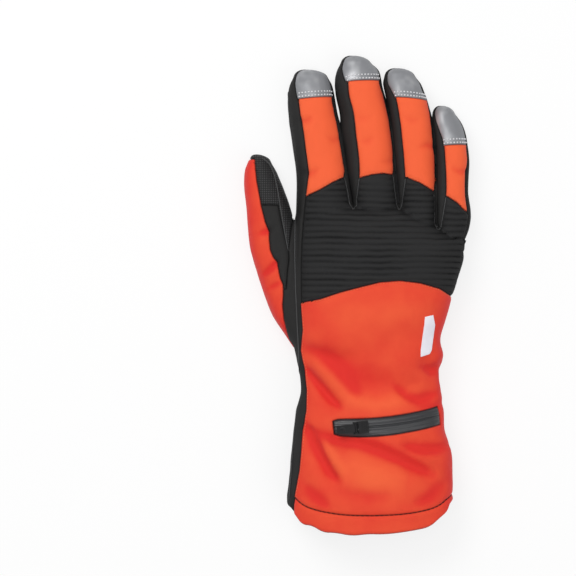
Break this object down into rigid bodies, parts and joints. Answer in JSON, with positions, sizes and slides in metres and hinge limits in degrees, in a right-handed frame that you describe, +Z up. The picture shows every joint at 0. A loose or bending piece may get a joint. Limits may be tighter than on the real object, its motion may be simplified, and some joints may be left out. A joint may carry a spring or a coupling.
{
  "type": "insulated work glove",
  "caption": "Padded gauntlet work glove for a right hand, hollow, with bright strips down the fingers, a ribbed knuckle panel and a zip across the cuff.",
  "frame": {"origin": "on the surface the glove rests on, under the middle of its length and width", "axes": "+Y from the cuff towards the fingertips, +Z up from the palm side to the back of the hand, thumb on the -X side"},
  "size_m": [0.1421, 0.2997, 0.0439],
  "materials": {
    "orange_fabric": "fluorescent woven shell cloth, matt",
    "reflective_film": "grey retroreflective film on cloth",
    "black_softshell": "smooth black softshell cloth, matt",
    "black_ribbed": "black ribbed stretch cloth",
    "grip_cloth": "black cloth with a fine rubber grip grid",
    "coated_tape": "coated water-resistant zip tape, satin",
    "dark_metal": "dark plated zip slider and pull",
    "white_cloth": "plain white woven tab"
  },
  "bodies": {
    "glove": {"back_panel": "orange_fabric", "cuff_palm": "black_softshell", "finger_back_index": "orange_fabric", "finger_back_little": "orange_fabric", "finger_back_middle": "orange_fabric", "finger_back_ring": "orange_fabric", "fingertip_index": "reflective_film", "fingertip_little": "reflective_film", "fingertip_middle": "reflective_film", "fingertip_ring": "reflective_film", "fourchette_index_middle": "black_softshell", "fourchette_middle_ring": "black_softshell", "fourchette_ring_little": "black_softshell", "hem_back": "orange_fabric", "hem_palm": "black_softshell", "knuckle_panel": "black_ribbed", "little_finger_side": "black_softshell", "palm_panel": "grip_cloth", "palm_patch": "grip_cloth", "side_gusset": "black_softshell", "thumb_back": "orange_fabric", "thumb_palm": "grip_cloth", "thumb_side_lower": "black_softshell", "thumb_side_upper": "black_softshell", "tip_wrap_index": "grip_cloth", "tip_wrap_little": "grip_cloth", "tip_wrap_middle": "grip_cloth", "tip_wrap_ring": "grip_cloth", "white_patch": "white_cloth", "zipper_slider": "dark_metal", "zipper_tape": "coated_tape"},
    "pull": {"zipper_pull": "dark_metal"}
  },
  "joints": [
    {"name": "pull_swing", "type": "hinge", "parent": "glove", "child": "pull", "pos_m": [-0.00144, -0.08269, 0.04284], "axis": [-0.111, 0.9938, 0], "range_deg": [0, 110]}
  ]
}
